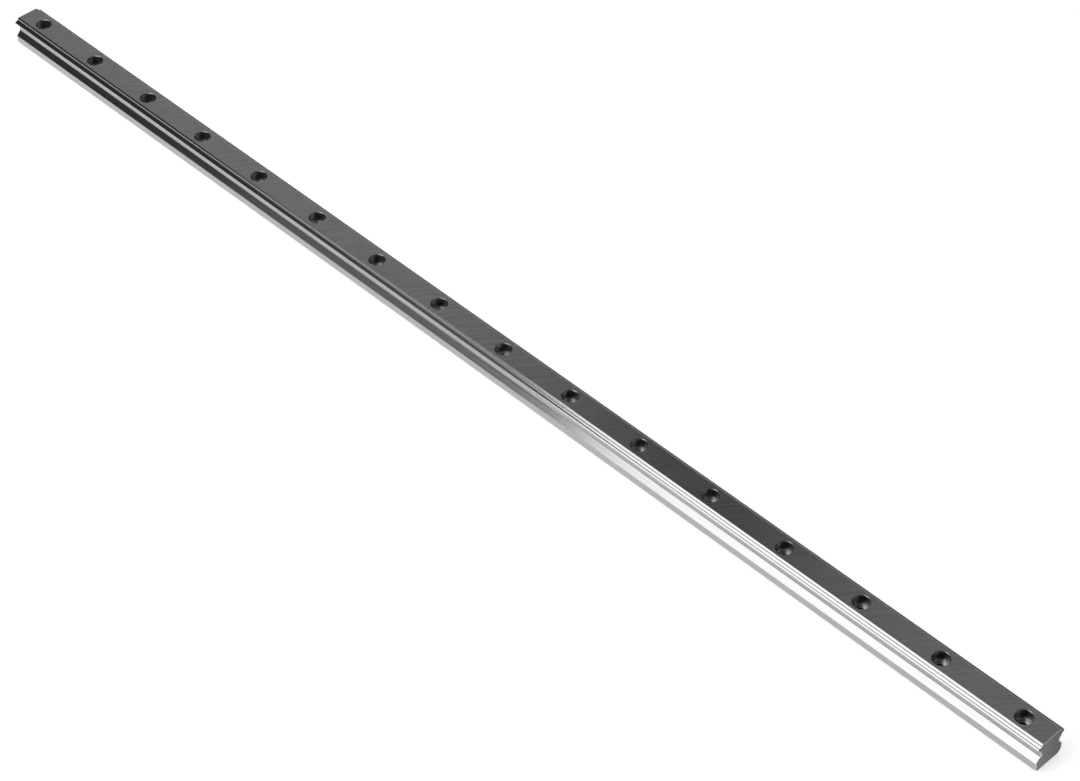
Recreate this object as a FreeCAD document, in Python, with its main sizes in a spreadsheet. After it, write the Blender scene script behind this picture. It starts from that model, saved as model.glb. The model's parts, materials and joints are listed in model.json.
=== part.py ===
# Linear guide rail: one ground steel bar with four ball raceways and a row of stepped screw holes.
# Units are millimetres. X runs along the rail, Z is up, and the origin is at mid-length on the bottom face.
import FreeCAD, Part
import enum
import os

import Sketcher

# Driving dimensions: name, value, and what it measures.
SIZES = [
    ("hole_count", "16", "screw holes in the row"),
    ("hole_pitch", "60", "one screw hole to the next"),
    ("end_distance", "20", "last screw hole to the end face"),
    ("rail_width", "23", "width over the head and over the base"),
    ("rail_height", "22", "bottom face to top face"),
    ("top_width", "15.6", "flat top face between the two flanks"),
    ("flank_depth", "2.9", "top face down to the head's side land"),
    ("side_land", "0.5", "height of the narrow upright land at the head's widest point"),
    ("undercut_depth", "4.5", "side land down to the neck, under the head"),
    ("neck_width", "16.4", "width over the neck"),
    ("neck_height", "3.0", "height of the upright neck wall"),
    ("slope_drop", "3.6", "height of the sloping shoulder from the neck out to the base"),
    ("bottom_bevel", "2.3", "bevel along each bottom edge"),
    ("raceway_radius", "2.65", "radius of the ground ball groove"),
    ("raceway_width", "2.75", "width of the ground ball groove across its flank"),
    ("raceway_land", "0.8", "head's side land to the near edge of the ball groove"),
    ("counterbore_diameter", "11", "seat for the screw head"),
    ("counterbore_depth", "9", "top face down to the screw head's seat"),
    ("hole_diameter", "7", "clearance hole for the screw"),
    ("rim_chamfer", "0.3", "chamfer round each counterbore's mouth"),
    ("end_chamfer", "0.4", "chamfer round both end faces"),
]

RAIL_LENGTH = "(sizes.hole_count - 1) * sizes.hole_pitch + 2 * sizes.end_distance"
FIRST_HOLE_X = "-(sizes.hole_count - 1) * sizes.hole_pitch / 2"
FULL_TURN = 360


class EdgeEnd(enum.IntEnum):
    """The two ends of a sketch edge, as constraints count them."""

    START = 1
    END = 2


START = EdgeEnd.START
END = EdgeEnd.END
# The sketch's own origin: the start of its own across axis.
ORIGIN = (-1, START)


def add_sheet(doc):
    """Give every driving dimension a named cell in the sheet."""
    sheet = doc.addObject("Spreadsheet::Sheet", "sizes")
    for row, (name, value, meaning) in enumerate(SIZES, start=1):
        sheet.set(f"A{row}", meaning)
        sheet.set(f"B{row}", value)
        sheet.setAlias(f"B{row}", name)
    doc.recompute()
    return sheet


def origin_feature(body, role):
    """Find one of the body's own origin planes or axes."""
    return next(item for item in body.Origin.OriginFeatures if item.Role == role)


def add_sketch(body, name, plane_role):
    """Start a sketch on one of the body's origin planes."""
    sketch = body.newObject("Sketcher::SketchObject", name)
    sketch.AttachmentSupport = [(origin_feature(body, plane_role), "")]
    sketch.MapMode = "FlatFace"
    return sketch


def point(across, up):
    return FreeCAD.Vector(across, up, 0)


def bind(sketch, kind, references, expression):
    """Add a dimension that follows an expression of the sheet."""
    value = float(sketch.evalExpression(expression))
    index = sketch.addConstraint(Sketcher.Constraint(kind, *references, value))
    sketch.setExpression(f"Constraints[{index}]", expression)


def join(sketch, edge, edge_end, other, other_end):
    sketch.addConstraint(Sketcher.Constraint("Coincident", edge, edge_end, other, other_end))


def add_lines(sketch, corners):
    """Draw straight edges from corner to corner, each joined to the one before it."""
    edges = [sketch.addGeometry(Part.LineSegment(*pair)) for pair in zip(corners, corners[1:])]
    for edge, following in zip(edges, edges[1:]):
        join(sketch, edge, END, following, START)
    return edges


def add_grooved_flank(sketch, start, end, outer_first, sheet):
    """Draw a flank from start to end with a hollow ball groove, and return its two lands.

    The groove keeps its distance from the head's side, where the flank starts if outer_first is true.
    """
    along = (end - start).normalize()
    outward = FreeCAD.Vector(along.y, -along.x, 0)
    half_width = sheet.raceway_width / 2
    reach = sheet.raceway_land + half_width
    middle = start + along * reach if outer_first else end - along * reach
    groove_start = middle - along * half_width
    groove_end = middle + along * half_width
    groove_depth = sheet.raceway_radius - (sheet.raceway_radius ** 2 - half_width ** 2) ** 0.5
    groove_floor = middle - outward * groove_depth
    first_land = sketch.addGeometry(Part.LineSegment(start, groove_start))
    groove = sketch.addGeometry(Part.Arc(groove_end, groove_floor, groove_start))
    last_land = sketch.addGeometry(Part.LineSegment(groove_end, end))
    outer_land = first_land if outer_first else last_land
    join(sketch, first_land, END, groove, END)
    join(sketch, groove, START, last_land, START)
    sketch.addConstraint(Sketcher.Constraint("Tangent", first_land, last_land))
    bind(sketch, "Distance", (outer_land,), "sizes.raceway_land")
    bind(sketch, "Radius", (groove,), "sizes.raceway_radius")
    bind(sketch, "Distance", (groove, START, groove, END), "sizes.raceway_width")
    return first_land, last_land


def draw_half_section(sketch, sheet):
    """Draw the right half of the rail's section, from the middle of the bottom face round to the top."""
    base_half = sheet.rail_width / 2
    neck_half = sheet.neck_width / 2
    land_top = sheet.rail_height - sheet.flank_depth
    land_foot = land_top - sheet.side_land
    neck_top = land_foot - sheet.undercut_depth
    neck_foot = neck_top - sheet.neck_height
    shoulder = neck_foot - sheet.slope_drop
    bottom_middle = point(0, 0)
    top_middle = point(0, sheet.rail_height)
    top_edge = point(sheet.top_width / 2, sheet.rail_height)

    lower_corners = [
        bottom_middle,
        point(base_half - sheet.bottom_bevel, 0),
        point(base_half, sheet.bottom_bevel),
        point(base_half, shoulder),
        point(neck_half, neck_foot),
        point(neck_half, neck_top),
    ]
    bottom, bevel, base_side, slope, neck = add_lines(sketch, lower_corners)
    undercut = add_grooved_flank(sketch, point(neck_half, neck_top), point(base_half, land_foot), False, sheet)
    (land,) = add_lines(sketch, [point(base_half, land_foot), point(base_half, land_top)])
    flank = add_grooved_flank(sketch, point(base_half, land_top), top_edge, True, sheet)
    top, middle = add_lines(sketch, [top_edge, top_middle, bottom_middle])

    join(sketch, bottom, START, *ORIGIN)
    join(sketch, neck, END, undercut[0], START)
    join(sketch, undercut[1], END, land, START)
    join(sketch, land, END, flank[0], START)
    join(sketch, flank[1], END, top, START)
    join(sketch, middle, END, bottom, START)
    for edge in (bottom, top):
        sketch.addConstraint(Sketcher.Constraint("Horizontal", edge))
    for edge in (base_side, neck, land, middle):
        sketch.addConstraint(Sketcher.Constraint("Vertical", edge))

    bind(sketch, "DistanceX", (*ORIGIN, base_side, START), "sizes.rail_width / 2")
    bind(sketch, "DistanceX", (*ORIGIN, land, START), "sizes.rail_width / 2")
    bind(sketch, "DistanceX", (*ORIGIN, neck, START), "sizes.neck_width / 2")
    bind(sketch, "DistanceX", (*ORIGIN, top, START), "sizes.top_width / 2")
    bind(sketch, "DistanceX", (bevel, START, bevel, END), "sizes.bottom_bevel")
    bind(sketch, "DistanceY", (bevel, START, bevel, END), "sizes.bottom_bevel")
    bind(sketch, "DistanceY", (*ORIGIN, top, START), "sizes.rail_height")
    bind(sketch, "DistanceY", (land, END, top, START), "sizes.flank_depth")
    bind(sketch, "DistanceY", (land, START, land, END), "sizes.side_land")
    bind(sketch, "DistanceY", (neck, END, land, START), "sizes.undercut_depth")
    bind(sketch, "DistanceY", (neck, START, neck, END), "sizes.neck_height")
    bind(sketch, "DistanceY", (slope, START, slope, END), "sizes.slope_drop")


def draw_hole_section(sketch, sheet):
    """Draw half of one stepped screw hole, from its axis out to its wall."""
    hole_radius = sheet.hole_diameter / 2
    seat_radius = sheet.counterbore_diameter / 2
    seat_height = sheet.rail_height - sheet.counterbore_depth
    rim_foot = sheet.rail_height - sheet.rim_chamfer
    corners = [
        point(0, 0),
        point(hole_radius, 0),
        point(hole_radius, seat_height),
        point(seat_radius, seat_height),
        point(seat_radius, rim_foot),
        point(seat_radius + sheet.rim_chamfer, sheet.rail_height),
        point(0, sheet.rail_height),
        point(0, 0),
    ]
    bottom, hole_wall, seat, seat_wall, rim, mouth, axis = add_lines(sketch, corners)
    join(sketch, bottom, START, *ORIGIN)
    join(sketch, axis, END, bottom, START)
    for edge in (bottom, seat, mouth):
        sketch.addConstraint(Sketcher.Constraint("Horizontal", edge))
    for edge in (hole_wall, seat_wall, axis):
        sketch.addConstraint(Sketcher.Constraint("Vertical", edge))

    bind(sketch, "DistanceX", (*ORIGIN, hole_wall, START), "sizes.hole_diameter / 2")
    bind(sketch, "DistanceX", (*ORIGIN, seat_wall, START), "sizes.counterbore_diameter / 2")
    bind(sketch, "DistanceX", (rim, START, rim, END), "sizes.rim_chamfer")
    bind(sketch, "DistanceY", (rim, START, rim, END), "sizes.rim_chamfer")
    bind(sketch, "DistanceY", (*ORIGIN, rim, END), "sizes.rail_height")
    bind(sketch, "DistanceY", (seat_wall, START, rim, END), "sizes.counterbore_depth")


def end_face_names(shape):
    """Name the two flat faces that look along the rail."""
    lengthwise = FreeCAD.Vector(1, 0, 0)
    names = []
    for number, face in enumerate(shape.Faces, start=1):
        if isinstance(face.Surface, Part.Plane) and face.Surface.Axis.isParallel(lengthwise, 1e-6):
            names.append(f"Face{number}")
    return names


def add_profiled_bar(doc, body, sheet):
    """Pad half the section along the rail, mirror it, and chamfer both end faces all round."""
    section = add_sketch(body, "half_section", "YZ_Plane")
    draw_half_section(section, sheet)

    half_bar = body.newObject("PartDesign::Pad", "half_bar")
    half_bar.Profile = section
    half_bar.SideType = "Symmetric"
    half_bar.setExpression("Length", RAIL_LENGTH)
    doc.recompute()

    whole_bar = body.newObject("PartDesign::Mirrored", "whole_bar")
    whole_bar.Originals = [half_bar]
    whole_bar.MirrorPlane = (origin_feature(body, "XZ_Plane"), [""])
    body.Tip = whole_bar
    doc.recompute()

    ends = body.newObject("PartDesign::Chamfer", "end_chamfers")
    ends.Base = (whole_bar, end_face_names(whole_bar.Shape))
    ends.setExpression("Size", "sizes.end_chamfer")
    doc.recompute()


def add_screw_holes(doc, body, sheet):
    """Turn out the first stepped hole and repeat it along the rail."""
    section = add_sketch(body, "hole_section", "XZ_Plane")
    section.setExpression("AttachmentOffset.Base.x", FIRST_HOLE_X)
    draw_hole_section(section, sheet)

    first_hole = body.newObject("PartDesign::Groove", "first_hole")
    first_hole.Profile = section
    first_hole.ReferenceAxis = (section, ["V_Axis"])
    first_hole.Angle = FULL_TURN
    doc.recompute()

    hole_row = body.newObject("PartDesign::LinearPattern", "hole_row")
    hole_row.Originals = [first_hole]
    hole_row.Direction = (origin_feature(body, "X_Axis"), [""])
    hole_row.Mode = "Spacing"
    hole_row.setExpression("Offset", "sizes.hole_pitch")
    hole_row.setExpression("Occurrences", "sizes.hole_count")
    body.Tip = hole_row
    doc.recompute()


def check(doc, body, bar_volume, sheet):
    """Stop if a feature failed, the rail is no sound single solid, or a hole was not cut."""
    for item in doc.Objects:
        if "Invalid" in item.State or "Error" in item.State:
            raise RuntimeError(f"{item.Label} did not build: {item.State}")
    shape = body.Shape
    if shape.isNull() or not shape.isValid() or len(shape.Solids) != 1:
        raise RuntimeError("the rail is not one valid solid")
    hole_volume = Part.makeCylinder(sheet.hole_diameter / 2, sheet.rail_height).Volume
    if bar_volume - shape.Volume < sheet.hole_count * hole_volume:
        raise RuntimeError("a screw hole was not cut")


def main():
    doc = FreeCAD.newDocument("guide_rail")
    sheet = add_sheet(doc)
    body = doc.addObject("PartDesign::Body", "rail")
    body.Label = "rail"
    add_profiled_bar(doc, body, sheet)
    bar_volume = body.Shape.Volume
    add_screw_holes(doc, body, sheet)
    check(doc, body, bar_volume, sheet)
    os.makedirs("parts", exist_ok=True)
    body.Shape.exportStep(f"parts/{body.Label}.step")


main()
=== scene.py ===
"""Looks of the linear guide rail: a fine mesh over the solid, ground steel, a pale studio and the camera."""

import json
import math

import bmesh
import bpy
from mathutils import Matrix, Vector


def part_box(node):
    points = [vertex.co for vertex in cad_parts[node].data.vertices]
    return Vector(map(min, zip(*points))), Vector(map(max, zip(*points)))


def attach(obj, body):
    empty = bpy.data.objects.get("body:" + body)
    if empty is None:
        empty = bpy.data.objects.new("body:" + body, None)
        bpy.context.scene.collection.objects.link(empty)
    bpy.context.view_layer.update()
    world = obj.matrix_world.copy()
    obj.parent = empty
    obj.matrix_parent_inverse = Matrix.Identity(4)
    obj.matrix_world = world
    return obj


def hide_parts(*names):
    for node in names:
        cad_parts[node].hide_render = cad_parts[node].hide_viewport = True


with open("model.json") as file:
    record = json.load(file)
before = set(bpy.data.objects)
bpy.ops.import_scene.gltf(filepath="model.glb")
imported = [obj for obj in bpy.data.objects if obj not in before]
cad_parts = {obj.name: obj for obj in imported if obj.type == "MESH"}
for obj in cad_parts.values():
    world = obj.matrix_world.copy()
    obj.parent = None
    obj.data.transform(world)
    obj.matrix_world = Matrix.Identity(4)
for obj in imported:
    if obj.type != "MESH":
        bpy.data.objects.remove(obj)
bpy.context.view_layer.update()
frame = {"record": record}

MM = 0.001

# Section sizes in metres, as the rail's solid has them.
TOP_WIDTH = 15.6 * MM
FLANK_DEPTH = 2.9 * MM
SIDE_LAND = 0.5 * MM
UNDERCUT_DEPTH = 4.5 * MM
NECK_WIDTH = 16.4 * MM
NECK_HEIGHT = 3.0 * MM
SLOPE_DROP = 3.6 * MM
BOTTOM_BEVEL = 2.3 * MM
RACEWAY_RADIUS = 2.65 * MM
RACEWAY_WIDTH = 2.75 * MM
RACEWAY_LAND = 0.8 * MM
COUNTERBORE_RADIUS = 5.5 * MM
RIM_CHAMFER = 0.3 * MM
END_CHAMFER = 0.4 * MM

# Edge roundings that are too small for the solid.
GROUND_EDGE = 0.12 * MM
DRAWN_EDGE = 0.35 * MM
BORE_EDGE = 0.08 * MM

# How finely round stretches are divided: edges, raceways, and holes, which lie in cells with four sides.
EDGE_STEPS = 4
RACEWAY_STEPS = 12
SIDE_STEPS = 16
HOLE_STEPS = 4 * SIDE_STEPS

# The turn from the middle of a cell's side to its corner, and the angle above which an edge is shaded sharp.
EIGHTH_TURN = math.tau / 8
SHARP_ANGLE = math.radians(32)

# The rail's length, height, width and hole row, read from the frame.
_, rail_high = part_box("rail")
END_X = rail_high[0]
HALF_WIDTH = rail_high[1]
HEIGHT = rail_high[2]
mounts = {mount["name"]: mount for mount in frame["record"]["mounts"]}
FIRST_HOLE_X = mounts["screw_hole_1"]["pos_m"][0]
LAST_HOLE_X = mounts["screw_hole_16"]["pos_m"][0]
HOLE_PITCH = mounts["screw_hole_2"]["pos_m"][0] - FIRST_HOLE_X
HOLE_COUNT = round((LAST_HOLE_X - FIRST_HOLE_X) / HOLE_PITCH) + 1
HOLE_RADIUS = mounts["screw_hole_1"]["dims"]["r_mm"] * MM
SEAT_HEIGHT = mounts["screw_hole_1"]["dims"]["length_mm"] * MM

# The rail's surfaces, in the order of the piece's material slots.
SURFACES = ["top", "track", "side", "drawn", "bottom", "end", "rim", "bore", "seat", "drill"]

# What the steel's tone is mixed from, and the range of noise that is spread over a tone or a roughness.
FINE_SHARE = 0.45
BROAD_SHARE = 0.35
PATCH_SHARE = 0.2
PATCHES_PER_METRE = 45
NOISE_LOW = 0.3
NOISE_HIGH = 0.7
NOISE_ROUGHNESS = 0.55

# Half the floor's side in metres, and its paper's grey.
FLOOR_HALF = 5.0
PAPER_GREY = 0.8

# How bright the floor and the horizon glow by themselves, where 1 is white.
PALE_GLOW = 0.8

# Where the floor's mirrored glow fades across the rail, as painted shade in the metal behind it, in metres.
FADE_START_Y = -10 * MM
FADE_END_Y = 40 * MM

# How far the painted contact shade on the floor's glow reaches from the rail, how open the floor is where it
# ends, and how many rays test it.
CONTACT_SHADE_REACH = 20 * MM
CONTACT_SHADE_OPENNESS = 0.35
CONTACT_SHADE_SAMPLES = 4

# The room's dim light, how far its pale horizon rises, and the tint of the lamps that the top face mirrors.
ROOM_COLOUR = (0.039, 0.036, 0.041, 1)
HORIZON_RISE = 0.05
MAUVE = (1.03, 0.99, 1.02)

# The photograph's camera, fitted to the hole row and the rail's edges, in metres and pixels.
CAMERA_PLACE = Vector((0.987198, -0.905011, 1.245162))
CAMERA_TARGET = Vector((0.0732, -0.0099, 0.022))
CAMERA_ROLL = math.radians(0.1817)
PHOTO_WIDTH = 1080
FOCAL_PIXELS = 2832.94
NEAR_CLIP = 10 * MM


def flat(across, up):
    """A point of the section or of a turned profile."""
    return Vector((across, up))


def rounded(points, radii, steps):
    """Round each inner corner of an open chain, and return lists of points, one list per corner.

    A rounding is a quadratic curve that touches the sides where an arc of the given radius would.
    """
    corners = [[points[0]]]
    for before, corner, after, radius in zip(points, points[1:], points[2:], radii[1:]):
        if radius == 0:
            corners.append([corner])
            continue
        back = (before - corner).normalized()
        ahead = (after - corner).normalized()
        half_angle = back.angle(ahead) / 2
        reach = radius / math.tan(half_angle)
        start = corner + back * reach
        end = corner + ahead * reach
        curve = []
        for step in range(steps + 1):
            share = step / steps
            curve.append(start * (1 - share) ** 2 + corner * 2 * share * (1 - share) + end * share ** 2)
        corners.append(curve)
    corners.append([points[-1]])
    return corners


def raceway(start, end, outer_first):
    """Points of a flank's hollow ball groove, which keeps its distance from the head's side."""
    along = (end - start).normalized()
    outward = flat(along.y, -along.x)
    half_angle = math.asin(RACEWAY_WIDTH / 2 / RACEWAY_RADIUS)
    reach = RACEWAY_LAND + RACEWAY_WIDTH / 2
    middle = start + along * reach if outer_first else end - along * reach
    centre = middle + outward * RACEWAY_RADIUS * math.cos(half_angle)
    points = []
    for step in range(RACEWAY_STEPS + 1):
        turn = half_angle * (2 * step / RACEWAY_STEPS - 1)
        points.append(centre + (along * math.sin(turn) - outward * math.cos(turn)) * RACEWAY_RADIUS)
    return points


def half_section():
    """Corners of the section's right half from bottom to top: point, edge radius, surface above it."""
    land_top = HEIGHT - FLANK_DEPTH
    land_foot = land_top - SIDE_LAND
    neck_top = land_foot - UNDERCUT_DEPTH
    neck_foot = neck_top - NECK_HEIGHT
    shoulder = neck_foot - SLOPE_DROP
    neck_head = flat(NECK_WIDTH / 2, neck_top)
    land_low = flat(HALF_WIDTH, land_foot)
    land_high = flat(HALF_WIDTH, land_top)
    top_edge = flat(TOP_WIDTH / 2, HEIGHT)
    corners = [
        (flat(HALF_WIDTH - BOTTOM_BEVEL, 0), DRAWN_EDGE, "drawn"),
        (flat(HALF_WIDTH, BOTTOM_BEVEL), DRAWN_EDGE, "side"),
        (flat(HALF_WIDTH, shoulder), GROUND_EDGE, "drawn"),
        (flat(NECK_WIDTH / 2, neck_foot), DRAWN_EDGE, "side"),
        (neck_head, DRAWN_EDGE, "track"),
    ]
    corners += [(point, 0, "track") for point in raceway(neck_head, land_low, False)]
    corners += [(land_low, GROUND_EDGE, "side"), (land_high, GROUND_EDGE, "track")]
    corners += [(point, 0, "track") for point in raceway(land_high, top_edge, True)]
    corners += [(top_edge, GROUND_EDGE, "top")]
    return corners


def inset(points, distance):
    """Move a closed chain's corners inwards; it runs anticlockwise."""
    moved = []
    for before, corner, after in zip(points[-1:] + points[:-1], points, points[1:] + points[:1]):
        coming = (corner - before).normalized()
        going = (after - corner).normalized()
        inward_coming = flat(-coming.y, coming.x)
        inward_going = flat(-going.y, going.x)
        reach = distance / (1 + inward_coming.dot(inward_going))
        moved.append(corner + (inward_coming + inward_going) * reach)
    return moved


def mirrored(points):
    """The same points on the section's other side, in reverse order."""
    return [flat(-point.x, point.y) for point in reversed(points)]


class Section:
    """The outline, anticlockwise from the bottom's right edge, and a surface for each stretch of one side."""

    def __init__(self, shrink=0.0):
        corners = half_section()
        right = [point for point, _, _ in corners]
        if shrink:
            right = inset(right + mirrored(right), shrink)[:len(right)]
        radii = [0] + [radius for _, radius, _ in corners] + [0]
        beyond = mirrored(right[:1]) + right + mirrored(right[-1:])
        rounds = rounded(beyond, radii, EDGE_STEPS)[1:-1]
        surfaces = [surface for _, _, surface in corners]
        half = [point for corner in rounds for point in corner]
        self.surfaces = [surface for corner, surface in zip(rounds, surfaces) for _ in corner][:-1]
        self.outline = half + mirrored(half)
        self.count = len(half)
        self.top_half = half[-1].x


class RailMesh:
    """The rail as one closed mesh: profiled sides, pierced top and bottom, stepped holes, chamfered ends."""

    def __init__(self):
        self.mesh = bmesh.new()
        self.section = Section()
        self.spread = [math.tan(EIGHTH_TURN * (2 * step / SIDE_STEPS - 1)) for step in range(SIDE_STEPS + 1)]
        self.rings = []
        self.crossings = {}

    def vertex(self, x, y, z):
        return self.mesh.verts.new((x, y, z))

    def face(self, corners, surface):
        face = self.mesh.faces.new(corners)
        face.material_index = SURFACES.index(surface)
        face.smooth = True

    def ring(self, x, section):
        return [self.vertex(x, point.x, point.y) for point in section.outline]

    def strip(self, first, second, surface):
        """Join two equal open rows of corners with four-sided faces."""
        for corner in range(len(first) - 1):
            self.face([first[corner], first[corner + 1], second[corner + 1], second[corner]], surface)

    def sides(self, first, second):
        """Join two rings along the right and the left profile."""
        count = self.section.count
        for step, surface in enumerate(self.section.surfaces):
            for corner in (step, 2 * count - 2 - step):
                self.face([first[corner], first[corner + 1], second[corner + 1], second[corner]], surface)

    def edges(self, top):
        """Places in a ring of the front and the back edge of the top or bottom face."""
        count = self.section.count
        return (count, count - 1) if top else (2 * count - 1, 0)

    def crossing(self, station, top):
        """The row of corners from front to back across the top or bottom face at one station."""
        key = (station, top)
        if key not in self.crossings:
            front, back = [self.rings[station][edge] for edge in self.edges(top)]
            inner = [self.vertex(front.co.x, back.co.y * share, front.co.z) for share in self.spread[1:-1]]
            self.crossings[key] = [front, *inner, back]
        return self.crossings[key]

    def pierced_cell(self, station, top, circle, surface):
        """Fill the face between a hole's rim and the square of corners around it."""
        last = station + SIDE_STEPS
        between = range(station + 1, last)
        front, back = self.edges(top)
        around = list(self.crossing(last, top))
        around += [self.rings[at][back] for at in reversed(between)]
        around += reversed(self.crossing(station, top))
        around += [self.rings[at][front] for at in between]
        self.strip(around + around[:1], circle + circle[:1], surface)

    def plain_stretches(self, starts, top, surface):
        """Fill the face between the cells of neighbouring holes, and from the outer cells to the ends."""
        for start, following in zip(starts, starts[1:]):
            self.strip(self.crossing(start + SIDE_STEPS, top), self.crossing(following, top), surface)
        front, back = self.edges(top)
        for ring, station in ((self.rings[0], starts[0]), (self.rings[-1], starts[-1] + SIDE_STEPS)):
            self.face([ring[front], ring[back], *reversed(self.crossing(station, top))], surface)

    def circle(self, x, radius, height):
        """Corners round a hole's axis, which start towards a corner of the hole's cell."""
        turns = [math.tau * step / HOLE_STEPS - EIGHTH_TURN for step in range(HOLE_STEPS)]
        return [self.vertex(x + radius * math.cos(turn), radius * math.sin(turn), height) for turn in turns]

    def hole(self, x):
        """Turn the stepped hole's wall from its rim to the bottom, and return its first and last circle."""
        profile = [
            flat(COUNTERBORE_RADIUS + RIM_CHAMFER, HEIGHT),
            flat(COUNTERBORE_RADIUS, HEIGHT - RIM_CHAMFER),
            flat(COUNTERBORE_RADIUS, SEAT_HEIGHT),
            flat(HOLE_RADIUS, SEAT_HEIGHT),
            flat(HOLE_RADIUS, 0),
        ]
        radii = [0] + [BORE_EDGE] * (len(profile) - 2) + [0]
        points = [point for corner in rounded(profile, radii, EDGE_STEPS) for point in corner]
        circles = [self.circle(x, radius, height) for radius, height in points]
        # The counterbore's wall has a rounding at each end, and the through hole has one at its upper end.
        surfaces = ["rim"] + ["bore"] * (2 * EDGE_STEPS + 1) + ["seat"] + ["drill"] * (EDGE_STEPS + 1)
        for upper, lower, surface in zip(circles, circles[1:], surfaces):
            self.strip(upper + upper[:1], lower + lower[:1], surface)
        return circles[0], circles[-1]

    def end(self, ring, x):
        """Close one end with its chamfer and its flat face."""
        cap = self.ring(x, Section(shrink=END_CHAMFER))
        self.strip(ring + ring[:1], cap + cap[:1], "drawn")
        self.face(cap, "end")

    def build(self):
        """Lay rings of corners along the rail, fill all the faces between them, and return the mesh."""
        holes = [FIRST_HOLE_X + HOLE_PITCH * number for number in range(HOLE_COUNT)]
        stations = [hole + self.section.top_half * share for hole in holes for share in self.spread]
        stations = [END_CHAMFER - END_X, *stations, END_X - END_CHAMFER]
        self.rings = [self.ring(x, self.section) for x in stations]
        for first, second in zip(self.rings, self.rings[1:]):
            self.sides(first, second)
        starts = [1 + number * (SIDE_STEPS + 1) for number in range(HOLE_COUNT)]
        for start, hole in zip(starts, holes):
            rim, foot = self.hole(hole)
            self.pierced_cell(start, True, rim, "top")
            self.pierced_cell(start, False, foot, "bottom")
        self.plain_stretches(starts, True, "top")
        self.plain_stretches(starts, False, "bottom")
        self.end(self.rings[0], -END_X)
        self.end(self.rings[-1], END_X)
        bmesh.ops.recalc_face_normals(self.mesh, faces=self.mesh.faces)
        data = bpy.data.meshes.new("guide_rail")
        self.mesh.to_mesh(data)
        self.mesh.free()
        return data


def add_rail():
    """Add the fine rail in place of the solid, with its normals weighted towards the large flat faces."""
    flat_face_weight = 100
    data = RailMesh().build()
    rail = bpy.data.objects.new("guide_rail", data)
    bpy.context.collection.objects.link(rail)
    data.set_sharp_from_angle(angle=SHARP_ANGLE)
    weighted = rail.modifiers.new("weighted_normals", "WEIGHTED_NORMAL")
    weighted.keep_sharp = True
    weighted.weight = flat_face_weight
    return rail


class Shader:
    """The node tree of a material or of the world."""

    def __init__(self, owner):
        self.owner = owner
        owner.use_nodes = True
        self.tree = owner.node_tree

    def put(self, target, value):
        """Link a socket, or set a constant, on an input."""
        if isinstance(value, bpy.types.NodeSocket):
            self.tree.links.new(value, target)
        else:
            target.default_value = value

    def node(self, kind, inputs=(), **settings):
        """Add a node with its settings and its inputs."""
        made = self.tree.nodes.new(kind)
        for name, value in settings.items():
            setattr(made, name, value)
        for key, value in dict(inputs).items():
            self.put(made.inputs[key], value)
        return made

    def math(self, operation, first, second):
        return self.node("ShaderNodeMath", {0: first, 1: second}, operation=operation).outputs[0]

    def place(self):
        """The surface point in the object's own frame, as three sockets."""
        point = self.node("ShaderNodeTexCoord").outputs["Object"]
        return self.node("ShaderNodeSeparateXYZ", {0: point}).outputs

    def streaks(self, point, per_metre, detail=3):
        """Noise that has so many features per metre along each of the point's three directions."""
        parts = [self.math("MULTIPLY", part, count) for part, count in zip(point, per_metre)]
        vector = self.node("ShaderNodeCombineXYZ", dict(enumerate(parts))).outputs[0]
        inputs = {"Vector": vector, "Scale": 1, "Detail": detail, "Roughness": NOISE_ROUGHNESS}
        return self.node("ShaderNodeTexNoise", inputs).outputs["Fac"]

    def spread(self, value, low, high, low_out, high_out):
        """Map a range of one value onto another."""
        inputs = {"Value": value, "From Min": low, "From Max": high, "To Min": low_out, "To Max": high_out}
        return self.node("ShaderNodeMapRange", inputs).outputs["Result"]

    def grey(self, value):
        return self.node("ShaderNodeCombineColor", {0: value, 1: value, 2: value}).outputs[0]


def steel(name, lines, tone, roughness, relief):
    """Bare steel whose lines follow the given function of the surface point.

    tone and roughness are each a middle value and how far the lines vary it, and relief is the height of the
    fine lines in metres.
    """
    shader = Shader(bpy.data.materials.new(name))
    x, y, z = shader.place()
    fine, broad = lines(shader, x, y, z)
    patches = shader.streaks((x, y, z), per_metre=[PATCHES_PER_METRE] * 3, detail=2)
    shares = ((fine, FINE_SHARE), (broad, BROAD_SHARE), (patches, PATCH_SHARE))
    fine_part, broad_part, patch_part = [shader.math("MULTIPLY", noise, share) for noise, share in shares]
    mixed = shader.math("ADD", shader.math("ADD", fine_part, broad_part), patch_part)
    middle, reach = tone
    grey = shader.grey(shader.spread(mixed, NOISE_LOW, NOISE_HIGH, middle - reach, middle + reach))
    middle, reach = roughness
    rough = shader.spread(broad, NOISE_LOW, NOISE_HIGH, middle + reach, middle - reach)
    bump = shader.node("ShaderNodeBump", {"Height": fine, "Distance": relief, "Strength": 1})
    surface = shader.tree.nodes["Principled BSDF"]
    shader.put(surface.inputs["Base Color"], grey)
    shader.put(surface.inputs["Roughness"], rough)
    shader.put(surface.inputs["Metallic"], 1)
    shader.put(surface.inputs["Normal"], bump.outputs["Normal"])
    return shader.owner


def lengthwise_lines(shader, x, y, z):
    """Grinding lines that run along the rail."""
    fine = shader.streaks((x, y, z), per_metre=(25, 5000, 5000), detail=4)
    broad = shader.streaks((x, y, z), per_metre=(9, 1200, 1200))
    return fine, broad


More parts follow.
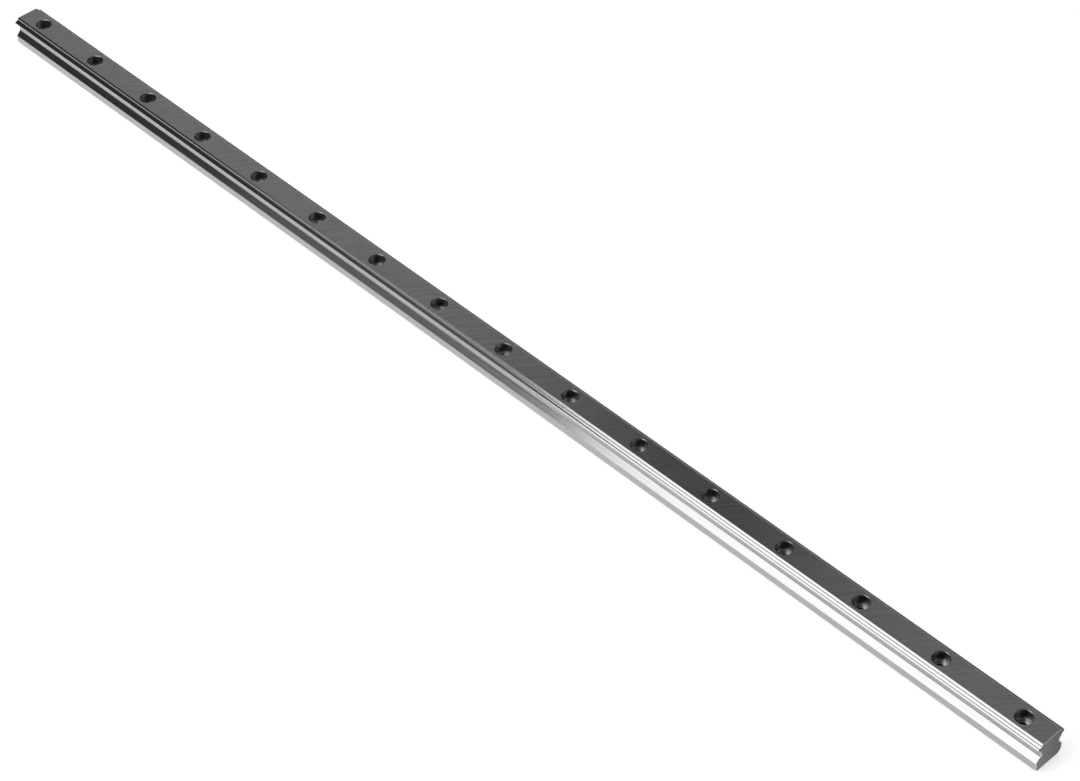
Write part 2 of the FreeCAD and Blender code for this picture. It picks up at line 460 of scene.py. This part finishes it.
def wheel_arcs(shader, x, y, z):
    """Slightly curved grinding marks that cross the top face at a slant."""
    slant_share = 0.73
    bow_per_metre = 14.0
    slant = shader.math("MULTIPLY", y, slant_share)
    bow = shader.math("MULTIPLY", shader.math("MULTIPLY", y, y), bow_per_metre)
    along = shader.math("SUBTRACT", shader.math("SUBTRACT", x, slant), bow)
    fine = shader.streaks((along, y, z), per_metre=(1300, 40, 1), detail=4)
    broad = shader.streaks((along, y, z), per_metre=(450, 12, 1), detail=2)
    return fine, broad


def saw_lines(shader, x, y, z):
    """Cutting marks across the end faces, at a slant."""
    slant_share = 0.4
    across = shader.math("ADD", y, shader.math("MULTIPLY", z, slant_share))
    fine = shader.streaks((x, across, z), per_metre=(1, 400, 3500), detail=4)
    broad = shader.streaks((x, across, z), per_metre=(1, 90, 700))
    return fine, broad


def turned_lines(shader, x, y, z):
    """Drilling marks round the holes' walls, which are faint patches on their seats."""
    fine = shader.streaks((x, y, z), per_metre=(60, 60, 3000))
    broad = shader.streaks((x, y, z), per_metre=(200, 200, 500))
    return fine, broad


def finish_rail(rail):
    """Give each surface of the rail its own ground, drawn or cut steel; the seats' tone carries part of a
    painted highlight and the through holes' tone a painted shade.
    """
    finishes = {
        "top": dict(lines=wheel_arcs, tone=(0.46, 0.1), roughness=(0.24, 0.06), relief=1.2e-6),
        "track": dict(lines=lengthwise_lines, tone=(0.56, 0.03), roughness=(0.14, 0.03), relief=4e-7),
        "side": dict(lines=lengthwise_lines, tone=(0.385, 0.03), roughness=(0.22, 0.04), relief=8e-7),
        "drawn": dict(lines=lengthwise_lines, tone=(0.56, 0.04), roughness=(0.16, 0.04), relief=8e-7),
        "bottom": dict(lines=lengthwise_lines, tone=(0.46, 0.04), roughness=(0.25, 0.05), relief=1e-6),
        "end": dict(lines=saw_lines, tone=(0.22, 0.035), roughness=(0.48, 0.06), relief=4e-6),
        "rim": dict(lines=turned_lines, tone=(0.45, 0.03), roughness=(0.35, 0.05), relief=6e-7),
        "bore": dict(lines=turned_lines, tone=(0.46, 0.02), roughness=(0.3, 0.02), relief=2e-7),
        # The seats' tone is raised above steel's to brighten the glint in the holes: partly a real
        # reflection, partly a painted highlight.
        "seat": dict(lines=turned_lines, tone=(0.86, 0.02), roughness=(0.34, 0.02), relief=2e-7),
        # The through holes' near-black tone is painted shade in the narrow bores.
        "drill": dict(lines=turned_lines, tone=(0.05, 0.015), roughness=(0.45, 0.05), relief=3e-6),
    }
    for surface in SURFACES:
        rail.data.materials.append(steel(f"steel_{surface}", **finishes[surface]))


def add_floor():
    """A pale floor that shows white to the eye; the rail's shadow falls on its paper and is painted on its
    glow.

    In the metal it shows white in front of the rail and dims behind it; that dimming is painted shade, as in
    the photograph's reflections.
    """
    data = bpy.data.meshes.new("floor")
    corners = [(-1, -1), (1, -1), (1, 1), (-1, 1)]
    data.from_pydata([(x * FLOOR_HALF, y * FLOOR_HALF, 0) for x, y in corners], [], [(0, 1, 2, 3)])
    floor = bpy.data.objects.new("floor", data)
    bpy.context.collection.objects.link(floor)
    shader = Shader(bpy.data.materials.new("floor_paper"))
    nodes = shader.tree.nodes
    nodes.remove(nodes["Principled BSDF"])
    paper = shader.node("ShaderNodeBsdfDiffuse", {"Color": (PAPER_GREY, PAPER_GREY, PAPER_GREY, 1)})
    _, y, _ = shader.place()
    rays = shader.node("ShaderNodeLightPath").outputs
    # Painted shade: the glow that the metal mirrors is made darker behind the rail.
    glow_with_painted_shade = shader.spread(y, FADE_START_Y, FADE_END_Y, PALE_GLOW, 0)
    glow_in_metal = shader.math("MULTIPLY", rays["Is Glossy Ray"], glow_with_painted_shade)
    seen = shader.math("MAXIMUM", rays["Is Camera Ray"], rays["Is Transmission Ray"])
    strength = shader.math("ADD", shader.math("MULTIPLY", seen, PALE_GLOW), glow_in_metal)
    # Painted shade: the floor's glow is darkened where the rail hems it in, to the eye and in the metal.
    painted_contact_shade = shader.node("ShaderNodeAmbientOcclusion", {"Distance": CONTACT_SHADE_REACH}, samples=CONTACT_SHADE_SAMPLES)
    unshaded_share = shader.spread(painted_contact_shade.outputs["AO"], 0, CONTACT_SHADE_OPENNESS, 0, 1)
    strength = shader.math("MULTIPLY", strength, unshaded_share)
    glow = shader.node("ShaderNodeEmission", {"Color": (1, 1, 1, 1), "Strength": strength})
    both = shader.node("ShaderNodeAddShader", {0: paper.outputs[0], 1: glow.outputs[0]})
    shader.put(nodes["Material Output"].inputs["Surface"], both.outputs[0])
    data.materials.append(shader.owner)


def add_world():
    """A dim room, with a pale horizon that the eye, metal and glass see."""
    shader = Shader(bpy.data.worlds.new("studio"))
    bpy.context.scene.world = shader.owner
    direction = shader.node("ShaderNodeTexCoord").outputs["Generated"]
    rise = shader.node("ShaderNodeSeparateXYZ", {0: direction}).outputs["Z"]
    rays = shader.node("ShaderNodeLightPath").outputs
    in_metal_or_glass = shader.math("MAXIMUM", rays["Is Glossy Ray"], rays["Is Transmission Ray"])
    horizon = shader.math("MULTIPLY", in_metal_or_glass, shader.spread(rise, 0, HORIZON_RISE, 1, 0))
    pale = shader.math("MAXIMUM", rays["Is Camera Ray"], horizon)
    white = (PALE_GLOW, PALE_GLOW, PALE_GLOW, 1)
    inputs = {"Fac": pale, "Color1": ROOM_COLOUR, "Color2": white}
    colour = shader.node("ShaderNodeMixRGB", inputs).outputs["Color"]
    shader.put(shader.tree.nodes["Background"].inputs["Color"], colour)


def add_softbox(name, centre, aim, size, radiance, lean=0, colour=(1, 1, 1)):
    """A rectangular lamp that faces the aim; radiance is its face's brightness, and lean is in degrees."""
    data = bpy.data.lights.new(name, "AREA")
    data.color = colour
    data.shape = "RECTANGLE"
    data.size, data.size_y = size
    data.energy = radiance * math.pi * size[0] * size[1]
    lamp = bpy.data.objects.new(name, data)
    turn = (Vector(aim) - Vector(centre)).to_track_quat("-Z", "Y").to_matrix().to_4x4()
    lamp.matrix_world = Matrix.Translation(centre) @ turn @ Matrix.Rotation(math.radians(lean), 4, "Z")
    lamp.visible_camera = False
    bpy.context.collection.objects.link(lamp)


def add_lamps():
    """Soft lamps, placed in metres."""
    # The key lamp, its two wings and a low card light the front side.
    add_softbox("key_softbox", (-0.23, -0.99, 1.37), (-0.1, 0, 0), size=(1.3, 2.2), radiance=1.75, lean=4)
    add_softbox("key_wing_low", (-1.05, -1.2, 0.7), (-0.4, 0, 0), size=(0.4, 0.6), radiance=0.12)
    add_softbox("key_wing_high", (-1.2, -1.1, 1.4), (-0.4, 0, 0), size=(0.45, 0.7), radiance=0.25)
    add_softbox("front_card", (-0.7, -1.2, 0.16), (-0.2, 0, 0.1), size=(2.0, 0.3), radiance=0.55)
    # A low card past the near end lights the top for views from behind.
    add_softbox("near_card", (2.0, -1.1, 0.6), (0, 0, 0), size=(2.6, 0.7), radiance=0.3)
    # Two lamps overhead are what the top mirrors in the photograph's view.
    add_softbox("overhead_far", (-2.07, 1.3, 1.8), (-0.3, 0, 0), size=(1.3, 1.6), radiance=0.29, colour=MAUVE)
    add_softbox("overhead_near", (-0.24, 1.3, 1.8), (0.2, 0, 0), size=(0.9, 1.6), radiance=0.24, colour=MAUVE)
    # A lamp behind the near end draws the light line along the end's upper edge.
    add_softbox("back_softbox", (1.99, 1.13, 0.67), (0.47, 0, 0.02), size=(0.8, 0.5), radiance=0.5)


def add_camera():
    """The photograph's view: a long lens from the near end, looking down along the rail."""
    data = bpy.data.cameras.new("camera")
    data.sensor_fit = "HORIZONTAL"
    data.lens = data.sensor_width * FOCAL_PIXELS / PHOTO_WIDTH
    data.clip_start = NEAR_CLIP
    camera = bpy.data.objects.new("camera", data)
    turn = (CAMERA_TARGET - CAMERA_PLACE).to_track_quat("-Z", "Y").to_matrix().to_4x4()
    camera.matrix_world = Matrix.Translation(CAMERA_PLACE) @ turn @ Matrix.Rotation(CAMERA_ROLL, 4, "Z")
    bpy.context.collection.objects.link(camera)
    bpy.context.scene.camera = camera


rail = add_rail()
finish_rail(rail)
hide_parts("rail")
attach(rail, "root")
add_floor()
add_world()
add_lamps()
add_camera()
bpy.context.scene.view_settings.view_transform = "Standard"
